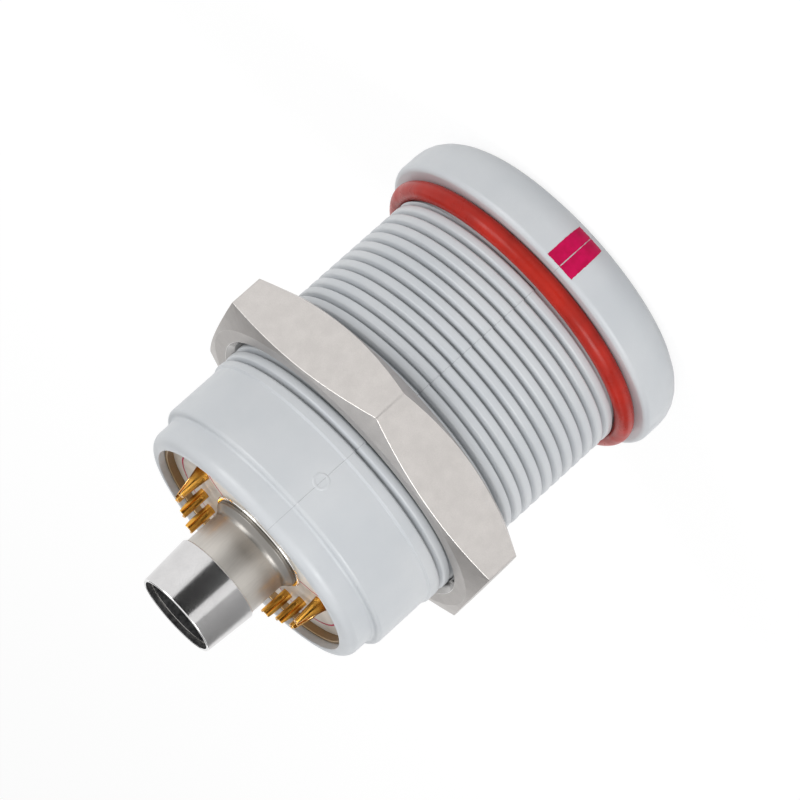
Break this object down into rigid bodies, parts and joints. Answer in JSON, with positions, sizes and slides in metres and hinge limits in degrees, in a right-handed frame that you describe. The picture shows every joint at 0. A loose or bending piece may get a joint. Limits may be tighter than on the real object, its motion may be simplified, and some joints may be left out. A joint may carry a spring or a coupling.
{
  "type": "push pull circular connector panel receptacle",
  "caption": "Panel-mount push pull circular connector receptacle: round flange, threaded neck with seal and hex nut, solder contacts and central cable tube.",
  "frame": {"origin": "centre of the flange's front face, on the connector's axis", "axes": "+Z along the axis towards the cable end, -Y towards the coloured key mark and main keyway"},
  "size_m": [0.04, 0.045, 0.0563],
  "materials": {
    "shell_plastic": "fine satin moulded grey plastic",
    "seal_rubber": "glossy red silicone rubber",
    "nut_metal": "brass, blasted and nickel plated",
    "tube_metal": "brass, satin nickel plated",
    "collar_metal": "brass, bright nickel plated",
    "washer_metal": "brass, bright nickel plated",
    "ring_metal": "bare brass",
    "clip_metal": "spring steel",
    "contact_gold": "brass, gold plated",
    "insulator_plastic": "off-white insulating plastic",
    "dielectric_plastic": "white fluoropolymer"
  },
  "bodies": {
    "shell": {"shell": "shell_plastic", "sealing_ring": "seal_rubber", "front_insulator": "insulator_plastic", "rear_insulator": "insulator_plastic", "retaining_ring": "ring_metal", "contact_1": "contact_gold", "contact_2": "contact_gold", "contact_3": "contact_gold", "contact_4": "contact_gold", "contact_5": "contact_gold", "contact_6": "contact_gold", "power_contact_1": "contact_gold", "power_contact_2": "contact_gold", "tube_body": "tube_metal", "base_washer": "washer_metal", "crimp_collar": "collar_metal", "tube_insulator": "dielectric_plastic", "centre_contact": "contact_gold", "tube_clip": "clip_metal"},
    "hex_nut": {"hex_nut": "nut_metal"}
  },
  "joints": [
    {"name": "nut_travel", "type": "slide", "parent": "shell", "child": "hex_nut", "axis": [0, 0, 1], "range_m": [-0.016, 0.04]}
  ]
}
